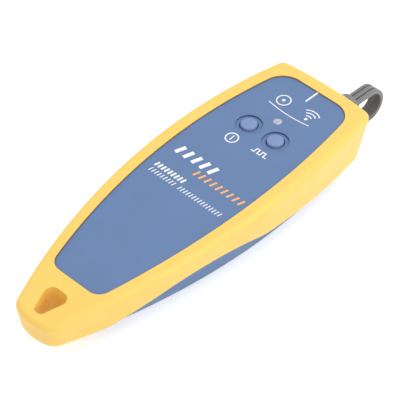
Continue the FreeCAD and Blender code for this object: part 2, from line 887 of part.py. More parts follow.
def make_ferrule_adapter():
    """The port: an inner flange, a collar through the wall and a barrel outside."""
    sleeve_bore = S.ferrule_radius + S.sleeve_wall + S.fit_gap / 2
    sleeve_end = barrel_end - S.sleeve_lip
    sleeve_start = sleeve_end - S.sleeve_length - S.fit_gap
    points = [
        (module_front, S.aperture_radius), (module_front, S.flange_radius),
        (pad_face, S.flange_radius), (pad_face, S.collar_radius), (collar_end, S.collar_radius),
        (collar_end, S.barrel_radius), (barrel_end, S.barrel_radius),
        (barrel_end, S.ferrule_radius), (sleeve_end, S.ferrule_radius), (sleeve_end, sleeve_bore), (sleeve_start, sleeve_bore),
        (sleeve_start, S.aperture_radius),
    ]
    return piece("ferrule_adapter", place(turned("adapter", points), 0, 0, S.port_height))


def make_ferrule_sleeve():
    """The split sleeve that lines up the ferrule: a thin tube with one slot."""
    end = barrel_end - S.sleeve_lip - S.fit_gap / 2
    start = end - S.sleeve_length
    outer = S.ferrule_radius + S.sleeve_wall
    tube = turned("sleeve_tube", rectangle(start, end, S.ferrule_radius, outer))
    slot = block("sleeve_slot", (start - 1, -S.sleeve_slit / 2, 0), (end + 1, S.sleeve_slit / 2, 2 * outer))
    return piece("ferrule_sleeve", place(less("sleeve", tube, [slot]), 0, 0, S.port_height))


def make_port_seal():
    """The gasket ring between the adapter's flange and the port wall."""
    half = S.seal_wire / 2
    ring = doc.addObject("Part::Torus", "seal")
    bind(ring, "Radius1", S.collar_radius + half)
    bind(ring, "Radius2", half)
    return piece("port_seal", place(ring, pad_face + half, 0, S.port_height, ALONG_X))


def make_laser_module():
    """The laser's tube: an aperture in front, a lens bore and a diode seat."""
    back = module_front - S.module_length
    bore = S.lens_radius + S.fit_gap / 2
    shoulder = module_front - S.lens_setback
    seat = module_front - S.diode_setback
    points = [
        (back, S.diode_radius + S.fit_gap / 2), (back, S.module_radius),
        (module_front, S.module_radius), (module_front, S.lens_radius - S.module_wall),
        (shoulder, S.lens_radius - S.module_wall), (shoulder, bore),
        (seat + S.module_wall, bore), (seat + S.module_wall, S.diode_radius - S.module_wall / 2),
        (seat, S.diode_radius - S.module_wall / 2), (seat, S.diode_radius + S.fit_gap / 2),
    ]
    return piece("laser_module", place(turned("module", points), 0, 0, S.port_height))


def make_collimating_lens():
    """A plano-convex lens against the tube's shoulder."""
    front = module_front - S.lens_setback
    rim = front - S.lens_thickness / 2
    bulge = S.lens_thickness / 2
    clear = S.lens_radius - S.lens_land - S.fit_gap
    sweep = (clear * clear + bulge * bulge) / (2 * bulge)
    points = [(front, 0), (front, S.lens_radius), (rim, S.lens_radius), (rim, clear),
              (rim - bulge, 0)]
    return piece("collimating_lens",
                 place(turned("lens", points, {3: sweep}), 0, 0, S.port_height))


def make_lens_ring():
    """The threaded ring that holds the lens against its shoulder."""
    front = module_front - S.lens_setback - S.lens_thickness / 2
    points = rectangle(front - S.rib, front, S.lens_radius - S.lens_land, S.lens_radius)
    return piece("lens_ring", place(turned("retainer", points), 0, 0, S.port_height))


def make_laser_diode():
    """The laser diode: a flanged can with three pins."""
    seat = module_front - S.diode_setback
    can = S.diode_radius - S.module_wall / 2 - S.fit_gap / 2
    points = [
        (seat - S.diode_flange, 0), (seat - S.diode_flange, S.diode_radius),
        (seat, S.diode_radius), (seat, can), (seat + 2 * S.diode_flange, can),
        (seat + 2 * S.diode_flange, 0),
    ]
    can_body = place(turned("diode", points), 0, 0, S.port_height)
    pins = []
    for number in range(3):
        angle = math.radians(120 * number + 90)
        pins.append(rod(f"diode_pin_{number}", S.pin_radius,
                        seat - S.diode_flange - S.pin_length, S.pin_length + S.diode_flange / 2,
                        S.pin_circle * math.cos(angle),
                        S.port_height + S.pin_circle * math.sin(angle)))
    return piece("laser_diode", joined("diode_whole", [can_body] + pins))


# ---------------------------------------------------------------- dust cap

def strap_band(name, width, inner, outer):
    """The strap's loop as a band between two depths below its outer surface."""
    centre = head + S.strap_reach - S.strap_loop_radius
    big = S.strap_loop_radius - inner
    small = S.strap_loop_radius - outer
    up = S.strap_loop_height
    cap_face = head + S.cap_reach
    ring_middle = ring_start + S.ring_width / 2
    ring_low = S.port_height - S.ring_radius - S.strap_thickness / 4
    points = [
        (ring_middle, ring_low + inner), (centre, up - big), (centre, up + big),
        (cap_face - S.cap_end / 2, up + big), (cap_face - S.cap_end / 2, up + small),
        (centre, up + small), (centre, up - small), (ring_middle, ring_low + outer),
    ]
    sketch = outline(f"{name}_profile", "XZ", points, {1: big, 5: -small})
    return extrude(name, sketch, width)


def make_dust_cap():
    """One rubber moulding: the cap, the looped strap and the ring round the collar."""
    inner = S.barrel_radius + S.cap_gap
    cap_face = head + S.cap_reach
    cap_mouth = collar_end + S.ring_gap
    cup_points = [
        (cap_mouth, inner), (cap_mouth, S.cap_radius), (cap_face - S.cap_edge, S.cap_radius),
        (cap_face, S.cap_radius - S.cap_edge), (cap_face, 0), (cap_face - S.cap_end, 0),
        (cap_face - S.cap_end, inner),
    ]
    cup = place(turned("cap_cup", cup_points), 0, 0, S.port_height)
    ring_points = rectangle(ring_start, ring_start + S.ring_width, S.collar_radius + S.cap_gap,
                            S.ring_radius)
    ring = place(turned("cap_ring", ring_points), 0, 0, S.port_height)
    strap = strap_band("strap", S.strap_width, sized(0.0), S.strap_thickness)
    whole = joined("cap_whole", [cup, ring, strap])
    grooves = []
    for side in (-1, 1):
        groove = strap_band(f"strap_groove_{side + 1}", S.strap_groove_width, -S.strap_groove,
                            S.strap_groove)
        grooves.append(place(groove, 0, side * S.strap_groove_spacing / 2, 0))
    clear = block("groove_limit", (cap_face + S.strap_groove, -REACH, -REACH),
                  (head + REACH, REACH, REACH))
    cut = shared("strap_grooves", [joined("groove_pair", grooves), clear])
    return piece("dust_cap", less("cap", whole, [cut]))


# ---------------------------------------------------------------- batteries

def cell(label, nub_to_head):
    """A penlight cell: a rounded can with its positive nub at one end."""
    edge = S.cell_nub_length / 2
    can = S.cell_length
    points = [
        (0, 0), (0, S.cell_radius - edge), (edge, S.cell_radius), (can - edge, S.cell_radius),
        (can, S.cell_radius - edge), (can, S.cell_nub_radius),
        (can + S.cell_nub_length, S.cell_nub_radius), (can + S.cell_nub_length, 0),
    ]
    solid = turned(label, points, {1: edge, 3: edge})
    if nub_to_head:
        end = bay_front - S.contact_thickness - S.cell_nub_length - can
        return piece(label, place(solid, end, cell_y, cell_z))
    end = bay_rear + S.contact_thickness + S.cell_nub_length + can
    return piece(label, place(solid, end, -cell_y, cell_z, Rotation(Vector(0, 0, 1), 180)))


def make_cell_left():
    return cell("cell_left", True)


def make_cell_right():
    return cell("cell_right", False)


def contact(label, x, low_y, high_y):
    """A sheet contact across one end of the bay."""
    return piece(label, block(f"{label}_sheet", (x, low_y, S.shell_wall + S.rib),
                              (x + S.contact_thickness, high_y,
                               cell_z + S.cell_radius - S.contact_drop)))


def make_bridge_contact():
    reach = S.cell_spacing - S.contact_trim
    return contact("bridge_contact", bay_rear, -reach, reach)


def make_positive_contact():
    return contact("positive_contact", bay_front - S.contact_thickness, S.contact_gap / 2,
                   S.cell_spacing - S.contact_trim)


def make_negative_contact():
    return contact("negative_contact", bay_front - S.contact_thickness,
                   S.contact_trim - S.cell_spacing, -S.contact_gap / 2)


def coil(label, x, y, towards_head):
    """A tapered coil spring on its contact: round wire in short straight steps."""
    wire = S.spring_wire.value
    length = S.spring_length.value - wire - S.fit_gap.value
    wide = S.cell_radius.value - 2 * wire
    taper = S.spring_taper.value
    steps = SPRING_TURNS * SPRING_STEPS
    rings = []
    for step in range(steps + 1):
        angle = 2 * math.pi * step / SPRING_STEPS
        radius = wide - taper * step / steps
        outward = Vector(math.cos(angle), math.sin(angle), 0)
        around = Vector(-math.sin(angle), math.cos(angle), 0) * (2 * math.pi * SPRING_TURNS * radius)
        along = (around - outward * taper + Vector(0, 0, length)).normalize()
        side = (outward - along * outward.dot(along)).normalize() * (wire / 2)
        centre = outward * radius + Vector(0, 0, length * step / steps)
        ring = Part.Circle(centre + side, centre + along.cross(side), centre - side)
        rings.append(Part.Wire([ring.toShape()]))
    spring = doc.addObject("Part::Feature", f"{label}_wire")
    spring.Shape = Part.makeLoft(rings, True, True)
    turn = ALONG_X if towards_head else Rotation(Vector(0, 1, 0), -90)
    offset = wire / 2 if towards_head else -wire / 2
    return piece(label, place(spring, sized(x) + offset, y, cell_z, turn))


def make_bridge_spring():
    return coil("bridge_spring", bay_rear + S.contact_thickness, cell_y, True)


def make_negative_spring():
    return coil("negative_spring", bay_front - S.contact_thickness, -cell_y, False)


def make_housing_screws():
    """The four self-tapping screws, driven from below into the face plate."""
    spots = [(head - S.boss_front, S.boss_front_y), (head - S.boss_rear, S.boss_rear_y)]
    screws = []
    for number, (x, y) in enumerate(spots):
        for side, across in (("left", y), ("right", -y)):
            name = f"screw_{number}_{side}"
            low = S.boss_seat - S.screw_head_height
            profile = [
                (0, low), (S.screw_head_radius, low), (S.screw_head_radius, S.boss_seat),
                (S.screw_radius, S.boss_seat), (S.screw_radius, S.boss_seat + S.screw_length - 1),
                (0, S.boss_seat + S.screw_length),
            ]
            screw = place(turned(name, profile, axis="V_Axis"), x, across, 0)
            long = S.screw_head_radius - S.screw_slot
            thin = S.screw_slot / 2
            slot = block(f"{name}_slot", (x - long, across - thin, low - 1),
                         (x + long, across + thin, low + S.screw_slot_depth))
            cross = block(f"{name}_cross", (x - thin, across - long, low - 1),
                          (x + thin, across + long, low + S.screw_slot_depth))
            screws.append(less(f"{name}_driven", screw, [slot, cross]))
    group = doc.addObject("Part::Compound", "screw_set")
    group.Links = screws
    return piece("housing_screws", group)


BUILDERS = (
    make_overmould, make_face_plate, make_back_shell, make_battery_door,
    make_power_button, make_flash_button, make_power_switch, make_flash_switch,
    make_status_led, make_circuit_board, make_driver_chip, make_boost_inductor,
    make_ferrule_adapter, make_ferrule_sleeve, make_port_seal,
    make_laser_module, make_collimating_lens, make_lens_ring, make_laser_diode,
    make_dust_cap, make_cell_left, make_cell_right,
    make_bridge_contact, make_positive_contact, make_negative_contact,
    make_bridge_spring, make_negative_spring, make_housing_screws,
)

for build in BUILDERS:
    build()
doc.recompute()

faults = [item.Name for item in doc.Objects if {"Invalid", "Error"} & set(item.State)]
for solid in PIECES:
    if solid.Shape.isNull() or not solid.Shape.isValid() or not solid.Shape.Solids:
        faults.append(solid.Label)
if faults:
    raise RuntimeError("failed to build: " + ", ".join(faults))

os.makedirs("parts", exist_ok=True)
for solid in PIECES:
    solid.Shape.exportStep(f"parts/{solid.Label}.step")
    print(f"{solid.Label:18} {len(solid.Shape.Solids)} solid, {solid.Shape.Volume:10.2f} mm3")
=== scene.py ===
"""Looks for a hand-held visual fault locator.

The solids come packed in model.glb. This file gives each of them its
finish, replaces the push buttons and the dust cap with fuller surfaces, and
adds the printed marks, the stage, the lamps and the camera.
"""
import math

import bmesh
import bpy
import numpy as np
from bpy.props import FloatProperty, FloatVectorProperty, PointerProperty
from mathutils import Matrix, Vector


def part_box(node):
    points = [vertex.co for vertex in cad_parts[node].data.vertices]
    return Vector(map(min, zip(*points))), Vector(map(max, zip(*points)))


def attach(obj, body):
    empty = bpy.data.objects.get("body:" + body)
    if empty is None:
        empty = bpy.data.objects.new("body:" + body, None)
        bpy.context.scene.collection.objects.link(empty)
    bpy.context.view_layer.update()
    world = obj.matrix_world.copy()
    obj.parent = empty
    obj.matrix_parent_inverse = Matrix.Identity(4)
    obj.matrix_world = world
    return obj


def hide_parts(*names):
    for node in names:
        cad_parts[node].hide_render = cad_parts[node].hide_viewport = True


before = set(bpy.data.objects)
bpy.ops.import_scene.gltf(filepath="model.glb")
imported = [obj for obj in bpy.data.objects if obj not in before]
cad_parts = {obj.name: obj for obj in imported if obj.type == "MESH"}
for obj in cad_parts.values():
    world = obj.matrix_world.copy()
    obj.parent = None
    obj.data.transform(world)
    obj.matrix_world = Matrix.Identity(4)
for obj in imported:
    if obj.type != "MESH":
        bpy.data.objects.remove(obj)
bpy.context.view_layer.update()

bl_info = {
    "name": "Fault locator looks",
    "version": (1, 0, 0),
    "blender": (4, 5, 0),
    "location": "View3D > Sidebar > Locator",
    "description": "Finishes, printed marks and stage for a visual fault locator",
    "category": "Object",
}

MM = 0.001
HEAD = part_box("overmould")[1].x
PORT_Z = (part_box("ferrule_sleeve")[0].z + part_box("ferrule_sleeve")[1].z) / 2
PORT_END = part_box("ferrule_adapter")[1].x
CAP_LOW, CAP_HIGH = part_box("dust_cap")
FLOOR_GAP = 0.05 * MM
WELD = 0.0002 * MM
SENSOR_WIDTH = 36.0
NEAREST, FARTHEST = 0.01, 20.0


# ---------------------------------------------------------------- surfaces

def grid_faces(rows, columns, round_rows=False, round_columns=False):
    """Quads between neighbouring points of a grid; a round side joins its last
    line of points to its first."""
    r = np.arange(rows if round_rows else rows - 1)
    c = np.arange(columns if round_columns else columns - 1)
    r, c = np.meshgrid(r, c, indexing="ij")
    r2, c2 = (r + 1) % rows, (c + 1) % columns
    quads = np.stack([r * columns + c, r * columns + c2, r2 * columns + c2, r2 * columns + c], -1)
    return quads.reshape(-1, 4)


def add_mesh(name, sheets, sharp_angle=40.0):
    """One mesh from several grids, each given as (points, round rows, round
    columns). Points that meet are joined and the faces are turned outwards."""
    places, quads, start = [], [], 0
    for points, round_rows, round_columns in sheets:
        rows, columns = points.shape[:2]
        places.append(points.reshape(-1, 3))
        quads.append(grid_faces(rows, columns, round_rows, round_columns) + start)
        start += rows * columns
    places, quads = np.concatenate(places), np.concatenate(quads)
    mesh = bpy.data.meshes.new(name)
    mesh.vertices.add(len(places))
    mesh.vertices.foreach_set("co", places.astype(np.float32).ravel())
    mesh.loops.add(quads.size)
    mesh.loops.foreach_set("vertex_index", quads.ravel().astype(np.int32))
    mesh.polygons.add(len(quads))
    mesh.polygons.foreach_set("loop_start", np.arange(0, quads.size, 4, dtype=np.int32))
    mesh.update(calc_edges=True)
    work = bmesh.new()
    work.from_mesh(mesh)
    bmesh.ops.remove_doubles(work, verts=work.verts, dist=WELD)
    bmesh.ops.dissolve_degenerate(work, edges=work.edges, dist=WELD)
    bmesh.ops.recalc_face_normals(work, faces=work.faces)
    work.to_mesh(mesh)
    work.free()
    mesh.shade_smooth()
    mesh.set_sharp_from_angle(angle=math.radians(sharp_angle))
    thing = bpy.data.objects.new(name, mesh)
    bpy.context.scene.collection.objects.link(thing)
    return thing


def fitted(thing, material, body):
    """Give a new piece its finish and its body."""
    thing.data.materials.append(material)
    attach(thing, body)


def corner_arc(centre, radius, start, end, count=7):
    """Points of a circle's arc about a centre, from one angle to another in
    degrees: centre + radius * (cos, sin)."""
    turn = np.radians(np.linspace(start, end, count))
    return np.stack([centre[0] + radius * np.cos(turn), centre[1] + radius * np.sin(turn)], -1)


def turned_about_z(profile, x, y, count=72):
    """A profile of (radius, height) carried round an upright axis at x, y:
    (x + r cos t, y + r sin t, h)."""
    profile = np.asarray(profile, float)
    turn = np.linspace(0, 2 * math.pi, count, endpoint=False)
    r, t = np.meshgrid(profile[:, 0], turn, indexing="ij")
    h = np.repeat(profile[:, 1][:, None], count, axis=1)
    return np.stack([x + r * np.cos(t), y + r * np.sin(t), h], -1)


def turned_about_port(profile, count=72):
    """A profile of (x, radius) carried round the port's axis:
    (x, r sin t, port height + r cos t)."""
    profile = np.asarray(profile, float)
    turn = np.linspace(0, 2 * math.pi, count, endpoint=False)
    r, t = np.meshgrid(profile[:, 1], turn, indexing="ij")
    x = np.repeat(profile[:, 0][:, None], count, axis=1)
    return np.stack([x, r * np.sin(t), PORT_Z + r * np.cos(t)], -1)


def face_height(x):
    """Height of the arched face plate: a circle that is level at the head,
    centre + sqrt(radius^2 - (head - x)^2)."""
    radius = bpy.context.scene.locator_marks.face_radius
    top = bpy.context.scene.locator_marks.face_top
    return top - radius + np.sqrt(radius ** 2 - (HEAD - x) ** 2)


def layered(lines):
    """Lines of (x, y) laid on the face, each lifted (+1) or sunk (-1) by the
    depth of the ink."""
    lift = bpy.context.scene.locator_marks.ink_depth
    return np.stack([np.column_stack([line, face_height(line[:, 0]) + lift * raised])
                     for line, raised in lines])


def ring_mark(x, y, radius, stroke, count=96):
    """A ring of ink: circles of radius +- stroke / 2 about x, y."""
    turn = np.linspace(0, 2 * math.pi, count, endpoint=False)
    unit = np.stack([np.cos(turn), np.sin(turn)], -1)
    outer = np.array([x, y]) + unit * (radius + stroke / 2)
    inner = np.array([x, y]) + unit * (radius - stroke / 2)
    return layered(((outer, -1.0), (outer, 1.0), (inner, 1.0), (inner, -1.0))), True, True


def bar_mark(x0, y0, x1, y1, stroke, count=40):
    """A bar of ink with round ends: each point is the nearer end of the line
    plus stroke / 2 in its own direction, and the layer closes on the line
    itself, above and below."""
    start, end = np.array([x0, y0]), np.array([x1, y1])
    along = (end - start) / np.linalg.norm(end - start)
    across = np.array([-along[1], along[0]])
    turn = np.linspace(0, 2 * math.pi, count, endpoint=False)
    near_end = (np.cos(turn) > 0)[:, None]
    spine = np.where(near_end, end, start)
    outline = spine + stroke / 2 * (np.cos(turn)[:, None] * along + np.sin(turn)[:, None] * across)
    return layered(((spine, -1.0), (outline, -1.0), (outline, 1.0), (spine, 1.0))), False, True


def stroke_mark(points, stroke):
    """A stroke of ink along open points: the line moved to both sides by
    stroke / 2, with mitred corners and square ends."""
    points = np.asarray(points, float)
    step = np.diff(points, axis=0)
    step /= np.linalg.norm(step, axis=1)[:, None]
    normal = np.stack([-step[:, 1], step[:, 0]], -1)
    before = np.concatenate([normal[:1], normal])
    after = np.concatenate([normal, normal[-1:]])
    mitre = before + after
    mitre /= (mitre * before).sum(1)[:, None]
    left, right = points + mitre * stroke / 2, points - mitre * stroke / 2
    body = layered(((left, -1.0), (left, 1.0), (right, 1.0), (right, -1.0)))
    ends = [np.stack([body[[0, 1], i], body[[3, 2], i]]) for i in (0, -1)]
    return [(body, True, False)] + [(end, False, False) for end in ends]


def tick_row(x, y, count, stroke, lean):
    """A row of leaning ticks, given in millimetres: each runs between the two
    values of x and leans by this much in y, and they stand evenly between the
    two values of y."""
    ticks = []
    for middle in np.linspace(y[0], y[1], count):
        line = np.array([(x[0], middle + lean / 2), (x[1], middle - lean / 2)])
        ticks += stroke_mark(line * MM, stroke * MM)
    return ticks


# ---------------------------------------------------------------- finishes

# A Mix node has its own inputs and output for each kind of value: these are
# the ones for colours.
MIX_COLOURS = (6, 7)
MIX_RESULT = 2
GAP_SAMPLES = 12


class Finish:
    """A material built up node by node round one Principled shader."""

    def __init__(self, name, **sockets):
        self.material = bpy.data.materials.new(name)
        self.material.use_nodes = True
        self.tree = self.material.node_tree
        self.tree.nodes.clear()
        output = self.tree.nodes.new("ShaderNodeOutputMaterial")
        self.shader = self.tree.nodes.new("ShaderNodeBsdfPrincipled")
        self.tree.links.new(self.shader.outputs[0], output.inputs["Surface"])
        self.where = self.tree.nodes.new("ShaderNodeTexCoord").outputs["Object"]
        for socket, value in sockets.items():
            self.shader.inputs[socket.replace("_", " ")].default_value = value

    def link(self, source, target):
        self.tree.links.new(source, target)

    def stretched(self, x, y, z):
        """Object coordinates scaled along each axis."""
        node = self.tree.nodes.new("ShaderNodeMapping")
        node.inputs["Scale"].default_value = (x, y, z)
        self.link(self.where, node.inputs["Vector"])
        return node.outputs["Vector"]

    def noise(self, cell, detail=3.0, roughness=0.5, where=None):
        """Noise whose cells are about this many metres across."""
        node = self.tree.nodes.new("ShaderNodeTexNoise")
        node.inputs["Scale"].default_value = 1.0 / cell
        node.inputs["Detail"].default_value = detail
        node.inputs["Roughness"].default_value = roughness
        self.link(where or self.where, node.inputs["Vector"])
        return node.outputs["Fac"]

    def bands(self, period, axis):
        """Sine bands across one axis, this many metres apart."""
        node = self.tree.nodes.new("ShaderNodeTexWave")
        node.wave_type = "BANDS"
        node.bands_direction = axis
        node.inputs["Scale"].default_value = math.pi / (10 * period)
        self.link(self.where, node.inputs["Vector"])
        return node.outputs["Fac"]

    def openness(self, reach):
        """One where the surface lies open, and less the deeper it lies in a gap
        narrower than the reach."""
        node = self.tree.nodes.new("ShaderNodeAmbientOcclusion")
        node.samples = GAP_SAMPLES
        node.inputs["Distance"].default_value = reach
        return node.outputs["AO"]

    def spread(self, value, low, high, new_low, new_high):
        """A value taken from one range to another, and held there."""
        node = self.tree.nodes.new("ShaderNodeMapRange")
        for socket, number in zip(("From Min", "From Max", "To Min", "To Max"),
                                  (low, high, new_low, new_high)):
            node.inputs[socket].default_value = number
        self.link(value, node.inputs["Value"])
        return node.outputs["Result"]

    def patches(self, cell, detail, low, high, most=1.0):
        """Soft patches about this many metres across: nought where the noise is
        under the low level, and the most where it is over the high one."""
        return self.spread(self.noise(cell, detail), low, high, 0.0, most)

    def joined(self, first, second, operation):
        """Two values joined by a Math node's operation."""
        node = self.tree.nodes.new("ShaderNodeMath")
        node.operation = operation
        self.link(first, node.inputs[0])
        self.link(second, node.inputs[1])
        return node.outputs[0]

    def part_of(self, axis):
        """One coordinate of the object's own place, in metres."""
        node = self.tree.nodes.new("ShaderNodeSeparateXYZ")
        self.link(self.where, node.inputs[0])
        return node.outputs[axis]

    def mixed(self, factor, first, second):
        """Two colours, or colour sockets, mixed by a factor."""
        node = self.tree.nodes.new("ShaderNodeMix")
        node.data_type = "RGBA"
        self.link(factor, node.inputs["Factor"])
        for place, value in zip(MIX_COLOURS, (first, second)):
            socket = node.inputs[place]
            if isinstance(value, bpy.types.NodeSocket):
                self.link(value, socket)
            else:
                socket.default_value = tuple(value)[:3] + (1.0,)
        return node.outputs[MIX_RESULT]

    def colour(self, socket):
        self.link(socket, self.shader.inputs["Base Color"])

    def rough(self, socket):
        self.link(socket, self.shader.inputs["Roughness"])

    def bump(self, height, depth):
        """Raise the surface by a height field of this depth in metres."""
        node = self.tree.nodes.new("ShaderNodeBump")
        node.inputs["Distance"].default_value = depth
        self.link(height, node.inputs["Height"])
        self.link(node.outputs["Normal"], self.shader.inputs["Normal"])


def shade(colour, factor):
    """A colour made lighter or darker by a factor."""
    return tuple(min(1.0, channel * factor) for channel in tuple(colour)[:3])


def moulded(name, colour, roughness, grain, depth, drift=0.05, gap=None, reach=0.9 * MM,
            **sockets):
    """Moulded plastic or rubber: a slow drift in colour, patches of sheen, the
    fine grain that its mould was etched with, and, where a gap colour is
    given, painted shade: that colour laid in the seams and gaps narrower than
    the reach, where shade falls."""
    drift_patch, sheen_patch, fleck_patch = 18 * MM, 6 * MM, 1.7 * grain
    finish = Finish(name, **sockets)
    slow = finish.patches(drift_patch, 2.0, 0.35, 0.65)
    fleck = finish.patches(fleck_patch, 2.0, 0.35, 0.7, most=0.35)
    base = finish.mixed(slow, shade(colour, 1 - drift), shade(colour, 1 + drift))
    skin = finish.mixed(fleck, base, shade(colour, 1 - 1.6 * drift))
    # Painted shade: ambient occlusion lays the gap colour wherever the surface lies in a seam or gap
    # narrower than the reach.
    if gap:
        seam = finish.spread(finish.openness(reach), 0.5, 0.84, 1.0, 0.0)
        skin = finish.mixed(seam, skin, gap)
    finish.colour(skin)
    sheen = finish.noise(sheen_patch)
    finish.rough(finish.spread(sheen, 0.3, 0.7, roughness - 0.05, roughness + 0.07))
    finish.bump(finish.noise(grain, 4.0, 0.6), depth)
    return finish.material


def metal(name, colour, roughness, line, depth, axis="X"):
    """Machined metal: tool lines across one axis, and a little staining."""
    stain_patch, along_line = 1.5 * MM, 0.04
    finish = Finish(name, Metallic=1.0)
    stain = finish.patches(stain_patch, 4.0, 0.35, 0.75)
    finish.colour(finish.mixed(stain, shade(colour, 1.04), shade(colour, 0.82)))
    squash = [1.0 if letter == axis else along_line for letter in "XYZ"]
    lines = finish.noise(line, 3.0, 0.6, finish.stretched(*squash))
    finish.rough(finish.spread(lines, 0.3, 0.7, roughness - 0.06, roughness + 0.1))
    finish.bump(lines, depth)
    return finish.material


def dress(material, slot, *names):
    """Put a finish on every slot of the named solids."""
    for name in names:
        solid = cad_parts[name]
        if not solid.data.materials:
            solid.data.materials.append(material)
        for entry in solid.material_slots:
            entry.material = material


# ---------------------------------------------------------------- settings

def colour_property(name, text, default):
    """A colour, in linear red, green and blue."""
    return FloatVectorProperty(name=name, description=text, subtype="COLOR", size=3,
                               min=0.0, max=1.0, default=default)


def length_property(name, text, default):
    """A length in metres."""
    return FloatProperty(name=name, description=text, default=default, min=0.0,
                         unit="LENGTH", subtype="DISTANCE")


def place_property(name, text, default):
    """A place in metres."""
    return FloatVectorProperty(name=name, description=text, default=default,
                               subtype="TRANSLATION", unit="LENGTH")


def power_property(name, text, default):
    """A lamp's power in watts."""
    return FloatProperty(name=name, description=text, default=default, unit="POWER")


class StageSettings(bpy.types.PropertyGroup):
    eye: place_property("Camera place", "Where the camera stands", (-0.41828, -0.40448, 0.56425))
    sight: FloatVectorProperty(name="Camera direction", description="Where the camera looks",
                               subtype="DIRECTION", default=(0.5178, 0.5079, -0.6884))
    lens: FloatProperty(name="Lens", description="Focal length on a 36 mm sensor, in millimetres",
                        default=222.26, unit="CAMERA")
    floor_colour: colour_property("Floor", "Colour of the floor", (0.88, 0.88, 0.88))
    floor_span: length_property("Floor span", "Width of the floor", 6.0)
    floor_glow: FloatProperty(name="Floor glow", description="How far the floor is brightened",
                              default=0.5)
    room_level: FloatProperty(name="Room light", description="Strength of the even room light",
                              default=0.83)
    overhead_place: place_property("Overhead place", "Where the overhead lamp hangs",
                                   (0.3, -0.1, 0.9))
    overhead_size: length_property("Overhead size", "Width of the overhead lamp", 0.7)
    overhead_power: power_property("Overhead lamp", "Power of the overhead lamp", 2.0)
    side_place: place_property("Side place", "Where the side lamp stands", (0.15, -0.95, 0.5))
    side_aim: place_property("Side aim", "The point that the side lamp faces", (0.0, 0.0, 0.01))
    side_size: length_property("Side size", "Width of the side lamp", 0.6)
    side_power: power_property("Side lamp", "Power of the side lamp", 2.6)


class BootSettings(bpy.types.PropertyGroup):
    colour: colour_property("Boot", "Colour of the soft overmould", (1.0, 0.64, 0.132))
    # The colour below is painted shade, laid in the overmould's seams and gaps where shade falls.
    seam: colour_property("Boot seam", "Colour of the overmould in its seams", (0.26, 0.065, 0.01))
    grain: length_property("Boot grain", "Size of the boot's moulded grain", 0.25 * MM)


class HousingSettings(bpy.types.PropertyGroup):
    colour: colour_property("Housing", "Colour of the hard housing", (0.115, 0.205, 0.40))
    # The colour below is painted shade, laid in the housing's seams, button wells and along the window's
    # rim where shade falls.
    seam: colour_property("Housing seam", "Colour of the housing in its seams", (0.045, 0.075, 0.16))
    grain: length_property("Housing grain", "Size of the housing's spark-eroded grain", 0.22 * MM)


class ControlSettings(bpy.types.PropertyGroup):
    button_colour: colour_property("Buttons", "Colour of the button caps", (0.205, 0.285, 0.51))
    button_radius: length_property("Button radius", "Radius of a button cap", 2.85 * MM)
    button_edge: length_property("Button edge", "Rounding of a button cap's edge", 0.5 * MM)
    button_crown: length_property("Button crown", "Height of a button cap's crown", 0.22 * MM)
    flange_depth: length_property("Button flange", "Thickness of a button's flange", 0.7 * MM)
    flange_edge: length_property("Flange edge", "Rounding of the flange's edge", 0.12 * MM)
    flange_root: length_property("Flange root", "Hollow between the flange and the cap", 0.15 * MM)
    lamp_colour: colour_property("Indicator", "Colour of the unlit indicator", (0.46, 0.48, 0.60))


class MarkSettings(bpy.types.PropertyGroup):
    face_radius: length_property("Face arch", "Radius of the arched face", 837.5 * MM)
    face_top: length_property("Face height", "Height of the face at the head", 27.2 * MM)
    ink_depth: length_property("Ink depth", "How far the print stands on the face", 0.02 * MM)
    line_stroke: length_property("Line width", "Width of a printed line", 0.42 * MM)
    axis_stroke: length_property("Axis line width", "Width of the line to the port", 0.62 * MM)
    pale: colour_property("Pale ink", "Colour of the pale print", (0.92, 0.93, 0.95))
    warm: colour_property("Warm ink", "Colour of the warm print", (1.0, 0.46, 0.15))


class CapSettings(bpy.types.PropertyGroup):
    colour: colour_property("Cap rubber", "Colour of the dust cap", (0.205, 0.204, 0.206))
    # The colour below is painted shade, laid in the cap's grooves, along its seams and inside the
    # strap's loop where shade falls.
    seam: colour_property("Cap seam", "Colour of the cap in its grooves and loop", (0.055, 0.054, 0.054))
    cap_radius: length_property("Cap radius", "Outer radius of the cap", 4.5 * MM)
    cap_past_port: length_property("Cap past the port", "From the port's end to the cap's face",
                                   1.9 * MM)
    cap_mouth: length_property("Cap mouth", "From the ring's far side to the cap's mouth", 2.4 * MM)
    cap_end: length_property("Cap end", "Thickness of the cap's closed end", 1.4 * MM)
    cap_bore: length_property("Cap bore", "Radius of the bore on the barrel", 3.3 * MM)
    cap_edge: length_property("Cap edge", "Rounding of the closed end", 0.7 * MM)
    mouth_edge: length_property("Mouth edge", "Outer rounding of the mouth", 0.3 * MM)
    bore_edge: length_property("Bore edge", "Inner rounding of the mouth", 0.2 * MM)
    ring_bore: length_property("Ring bore", "Inner radius of the ring", 4.3 * MM)
    ring_radius: length_property("Ring radius", "Outer radius of the ring", 5.9 * MM)
    ring_width: length_property("Ring width", "Width of the ring along the port", 1.8 * MM)
    ring_edge: length_property("Ring edge", "Rounding of the ring's edges", 0.35 * MM)
    strap_width: length_property("Strap width", "Width of the strap", 5.3 * MM)
    strap_thickness: length_property("Strap thickness", "Thickness of the strap", 1.6 * MM)
    strap_corner: length_property("Strap corner", "Rounding along the strap's edges", 0.4 * MM)
    strap_root: length_property("Strap root", "How deep the strap starts in the cap", 0.8 * MM)
    strap_proud: length_property("Strap at the ring", "How far the strap stands out of the ring",
                                 0.4 * MM)
    loop_radius: length_property("Loop radius", "Outer radius of the strap's loop", 6.2 * MM)
    groove_width: length_property("Groove width", "Width of each groove along the strap", 0.55 * MM)
    groove_depth: length_property("Groove depth", "Depth of each groove along the strap", 0.35 * MM)
    groove_spacing: length_property("Groove spacing", "Distance between the two grooves", 2.1 * MM)


